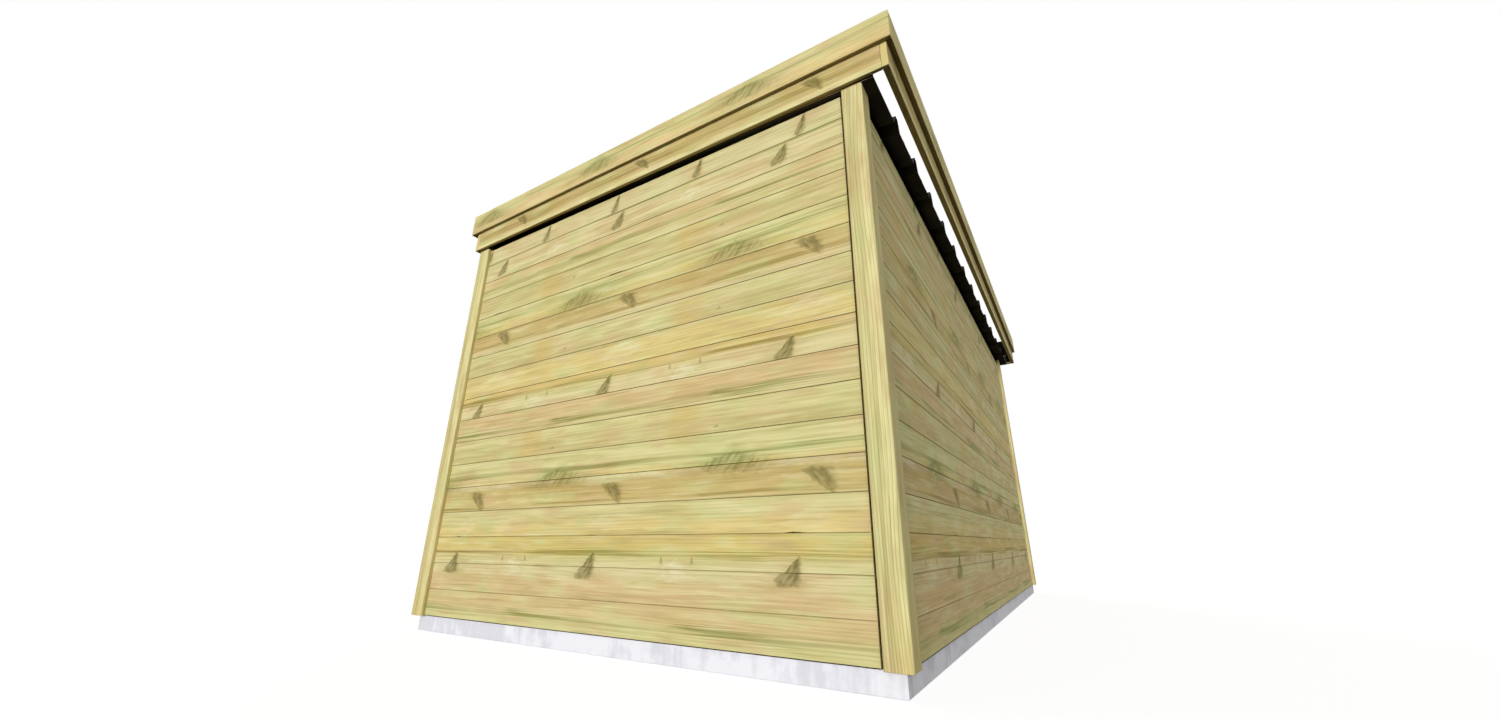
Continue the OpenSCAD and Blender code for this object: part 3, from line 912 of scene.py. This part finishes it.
def roofPlane():
    # the sheets' underside: a point on the right edge, and the directions down the fall and out of the roof
    low, high = sheetBoxes["middle"]
    folded = roof["ribHigh"] + roof["sheet"]
    angle = math.atan2(high[2] - low[2] - folded, high[0] - low[0])
    down = np.array([math.cos(angle), 0, -math.sin(angle)])
    up = np.array([math.sin(angle), 0, math.cos(angle)])
    eave = np.array([high[0] - math.sin(angle) * folded, 0, low[2]])
    return eave, down, up, (high[0] - low[0]) / math.cos(angle)


def roofHeight(x):
    # the sheets' underside at a place across the shed
    eave, down = roofPlane()[:2]
    return eave[2] + down[2] / down[0] * (x - eave[0])


def ribPlaces():
    # ribs that fit between the two turned-up edges
    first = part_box("base_slab")[0][1] + roof["ribStart"]
    room = sheetBoxes["back"][1][1] - roof["edgeRoom"] - roof["ribFoot"] / 2 - first
    return first + roof["ribPitch"] * np.arange(1 + int(room / roof["ribPitch"]))


def roofSheets():
    coats = [roofCoat(name, *looks) for name, looks in roof["coats"].items()]
    eave, down, up, long = roofPlane()
    ribs = ribPlaces()
    stations = np.linspace(0, -long, 12)
    for name, box in sheetBoxes.items():
        near, far = box[:, 1]
        path = sheetPath(near, far, ribs[(ribs > near) & (ribs < far)], name == "front", name == "back")
        lean = np.gradient(path, axis=0)
        normal = np.stack([-lean[:, 1], lean[:, 0]], -1)
        normal /= np.linalg.norm(normal, axis=1, keepdims=True)
        ring = np.vstack([path, (path + roof["sheet"] * normal)[::-1]])
        points = (eave + stations[:, None, None] * down + ring[None, :, :1] * yAxis + ring[None, :, 1:] * up)
        count, around = len(stations), len(ring)
        quads, s, p = ringQuads(count, around)
        i = np.arange(len(path) - 1)
        j = around - 1 - i
        strip = np.stack([i, i + 1, j - 1, j], -1)
        ends = np.vstack([strip, (strip + (count - 1) * around)[:, ::-1]])
        mesh = makePiece("roof_" + name, points, np.vstack([quads, ends]).tolist(), coats, "roof_steel",
                         "roof_sheet_" + name)
        # top coat above, backing below, and near-black painted shade on the outside of the turned-up edges
        below = p < len(path) - 1
        steep = np.abs(normal[np.minimum(p, len(path) - 1), 0]) > 0.98
        coat = np.concatenate([np.where(below, np.where(steep, 2, 1), 0), np.ones(len(ends), int)])
        mesh.polygons.foreach_set("material_index", coat.astype(np.int32))


roofSheets()
print("roof sheets folded")


# Roof screws: hexagon heads on round washers, through every pan into each support
screw = {
    "washer": (0.009, 0.0015),  # radius and height
    "head": (0.0046, 0.005),
    "crown": (0.8, 0.85),  # shares of the head: the radius of its top, and the height where it draws in
    "sides": 12,
    "lapShift": 0.018,  # to the middle of a lap
    "lapSeat": 2.5,  # sheet thicknesses under a washer on a lap
    "supports": ("right_top_plate", "right_purlin", "middle_purlin", "left_purlin", "left_packer"),
    "coat": ((30, 29, 27), 0.5, 0.3),
}


def roofScrews():
    # profile turned about the screw: a round washer, then a hexagon of radius flat / cos(angle from its flat)
    eave, down, up = roofPlane()[:3]
    ribs = ribPlaces()
    pans = np.concatenate([ribs, ribs[-1:] + roof["ribPitch"]]) - roof["ribPitch"] / 2
    joints = np.array([sheetBoxes[name][1][1] for name in sheetNames[:-1]])
    lapped = np.abs(pans[:, None] - joints).min(1) < 0.01
    places = pans + screw["lapShift"] * lapped
    seats = roof["sheet"] * np.where(lapped, screw["lapSeat"], 1.0)
    supports = [np.mean(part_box(node), 0)[0] for node in screw["supports"]]
    (washerWide, washerTall), (headWide, headTall) = screw["washer"], screw["head"]
    crownWide, crownStart = screw["crown"]
    turn = 2 * np.pi * np.arange(screw["sides"]) / screw["sides"]
    washer = np.full(len(turn), washerWide)
    hexagon = headWide / np.cos((turn + np.pi / 6) % (np.pi / 3) - np.pi / 6)
    radii = np.stack([washer, washer, hexagon, hexagon, crownWide * hexagon])
    heights = washerTall * np.array([0, 1, 1, 1, 1]) + headTall * np.array([0, 0, 0, crownStart, 1])
    flat = radii[:, :, None] * (np.cos(turn)[:, None] * down + np.sin(turn)[:, None] * yAxis)
    shape = (flat + heights[:, None, None] * up).reshape(-1, 3)
    many = len(shape)
    outline = ringQuads(*radii.shape)[0][:, ::-1].tolist() + [list(range(many - len(turn), many))]
    spots = np.array([eave + down * (x - eave[0]) / down[0] + yAxis * y + up * seat
                      for x in supports for y, seat in zip(places, seats)])
    faces = [[i + many * number for i in face] for number in range(len(spots)) for face in outline]
    screwBlack = roofCoat("screwBlack", *screw["coat"])
    makePiece("roof_screws", spots[:, None] + shape, faces, [screwBlack], "roof_steel")


roofScrews()
print("roof screws driven")


# Black trims in the gaps beside the posts, above and under the cladding and under the eaves: dark pieces put
# in as painted shade
trim = {
    "setBack": 0.0085,  # behind the cladding's face
    "thin": 0.0015,
    "play": 0.0005,
    "head": {"right": 0.034, "left": 0.034},  # how far the black strip of painted shade under an eave laps down over the boards
    "flashing": (0.0001, 0.0006),  # play and thickness behind the end fascias
    "flashFoot": 0.018,  # above the lower fascia's bottom
    "flashHead": 0.005,  # below the upper fascia's top
    "lapOver": 0.002,  # above the turned-up edge
    # near-black for the trims and flashings: painted shade
    "coat": ((13, 12, 11), 0.95, 0.0),
}


def prismPiece(name, origin, along, out, outlines):
    # prisms in wall axes: outlines (along, height) between two depths
    points, faces = [], []
    for outline, inside, outside in outlines:
        flat = np.array([origin + a * along + h * zAxis for a, h in outline])
        start = 8 * len(points)
        points.append(np.stack([flat - inside * out, flat - outside * out]))
        faces += (ringQuads(2, 4)[0][:, ::-1] + start).tolist()
        faces += [[i + start for i in cap[::-1]] for cap in ringCaps(2, 4)]
    makePiece(name, np.array(points), faces, [shadeTrimBlack], "roof_steel")


def upright(a, b, foot, head):
    return [(a, foot), (b, foot), (b, head), (a, head)]


def gapShadeTrims(side):
    # black strips as painted shade: beside the posts, from the boards up to the roof, under the lowest board
    # and under an eave
    along, out = walls[side]["along"], walls[side]["out"]
    origin, length, thick, tall = wallFace(side + "_cladding", side)
    play, thin = trim["play"], trim["thin"]
    back = thick - play / 2
    plate = sorted((np.array(corner) - origin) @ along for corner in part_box(side + "_sole_plate"))
    first, last = plate[0] + play, plate[1] - play
    tops = [roofHeight((origin - thick * out + t * along)[0]) - origin[2] - play for t in (first, last)]
    past = cladding["reach"] + play
    ends = [(a, b) for a, b in ((first, -past), (length + past, last)) if b > a + play]
    outlines = [(upright(a, b, 0, tall), back, trim["setBack"]) for a, b in ends]
    overBoards = [(first, tall + play), (last, tall + play), (last, tops[1]), (first, tops[0])]
    outlines.append((overBoards, back, thick - thin))
    outlines.append((upright(0, length, 0, cladding["footGap"] - play), back, thin))
    if side in trim["head"]:
        outlines.append((upright(first, last, tall - trim["head"][side], tall), -play / 2, -thin))
    prismPiece(side + "_gap_shade_trims", origin, along, out, outlines)


def endShadeFlashing(side):
    # thin black sheet, painted shade on the inner face of an end fascia: over the turned-up edge, and down
    # through the open eave
    along, out = walls[side]["along"], walls[side]["out"]
    origin, length, thick = wallFace(side + "_lower_fascia", side)[:3]
    play, thin = trim["flashing"]
    left, right = sorted([origin[0], origin[0] + length * along[0]])
    places = np.array([left, sheetBoxes["middle"][1][0], right]) + trim["play"] * np.array([1, 1, -1])
    a, b, c = (places - origin[0]) * along[0]
    over = roofHeight(places) + roof["upstand"] + trim["lapOver"] - origin[2]
    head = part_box(side + "_upper_fascia")[1][2] - origin[2] - trim["flashHead"]
    outlines = [[(a, over[0]), (b, over[1]), (b, head), (a, head)], upright(b, c, trim["flashFoot"], head)]
    if a > c:
        outlines = [outline[::-1] for outline in outlines]
    near = thick + play
    prismPiece(side + "_shade_flashing", origin, along, out, [(outline, near + thin, near) for outline in outlines])


shadeTrimBlack = roofCoat("shadeTrimBlack", *trim["coat"])
for side in walls:
    gapShadeTrims(side)
for side in ("front", "back"):
    endShadeFlashing(side)
print("gap trims and flashings fitted")


# Soft studio light: an even sky and three broad lamps near the horizon
studio = {
    "sky": 0.50,
    "lamps": {  # energy, then spread, rise and bearing in degrees: 0 shines along +Y and 90 along -X
        "key": (2.03, 16, 8, 5),
        "fill": (0.72, 30, 8, 45),
        "back": (0.97, 30, 12, 225),
    },
    "floorBounce": 0.03,
    "floorGlow": 0.82,
    "floorTint": 0.30,
    "floorHalf": 60.0,
    "floorDrop": 0.0005,
}


def seenDirectly(tree):
    # camera, glossy and transmission rays see the pale backdrop
    path = addNode(tree, "LightPath").outputs
    either = calc(tree, "MAXIMUM", path["Is Camera Ray"], path["Is Glossy Ray"])
    return calc(tree, "MAXIMUM", either, path["Is Transmission Ray"])


def setLight():
    world = bpy.data.worlds.new("studioSky")
    world.use_nodes = True
    tree = world.node_tree
    level = addNode(tree, "MapRange", {0: seenDirectly(tree), 3: studio["sky"], 4: 1.0}).outputs[0]
    tree.links.new(level, tree.nodes["Background"].inputs["Strength"])
    tree.nodes["Background"].inputs["Color"].default_value = (1, 1, 1, 1)
    bpy.context.scene.world = world
    for name, (energy, spread, rise, bearing) in studio["lamps"].items():
        lamp = bpy.data.lights.new(name + "Lamp", "SUN")
        lamp.energy = energy
        lamp.angle = math.radians(spread)
        holder = bpy.data.objects.new(name + "Lamp", lamp)
        holder.rotation_euler = (math.radians(90 - rise), 0, math.radians(bearing))
        bpy.context.scene.collection.objects.link(holder)


def setFloor():
    material = bpy.data.materials.new("studioFloor")
    material.use_nodes = True
    tree = material.node_tree
    tree.nodes.remove(tree.nodes["Principled BSDF"])
    dull, pale = (addNode(tree, "BsdfDiffuse", {"Color": (level, level, level, 1)}).outputs[0]
                  for level in (studio["floorBounce"], studio["floorTint"]))
    glow = addNode(tree, "Emission", {"Strength": studio["floorGlow"]}).outputs[0]
    both = addNode(tree, "AddShader", {0: pale, 1: glow}).outputs[0]
    mixed = addNode(tree, "MixShader", {0: seenDirectly(tree), 1: dull, 2: both})
    tree.links.new(mixed.outputs[0], tree.nodes["Material Output"].inputs["Surface"])
    corner = np.array([[-1, -1, 0], [1, -1, 0], [1, 1, 0], [-1, 1, 0]]) * studio["floorHalf"]
    corner[:, 2] = cadBox[0][2] - studio["floorDrop"]
    mesh = bpy.data.meshes.new("studioFloor")
    mesh.from_pydata(corner.tolist(), [], [[0, 1, 2, 3]])
    mesh.materials.append(material)
    floor = bpy.data.objects.new("studioFloor", mesh)
    bpy.context.scene.collection.objects.link(floor)


setLight()
setFloor()
bpy.context.scene.view_settings.view_transform = "Standard"
print("light and floor set")
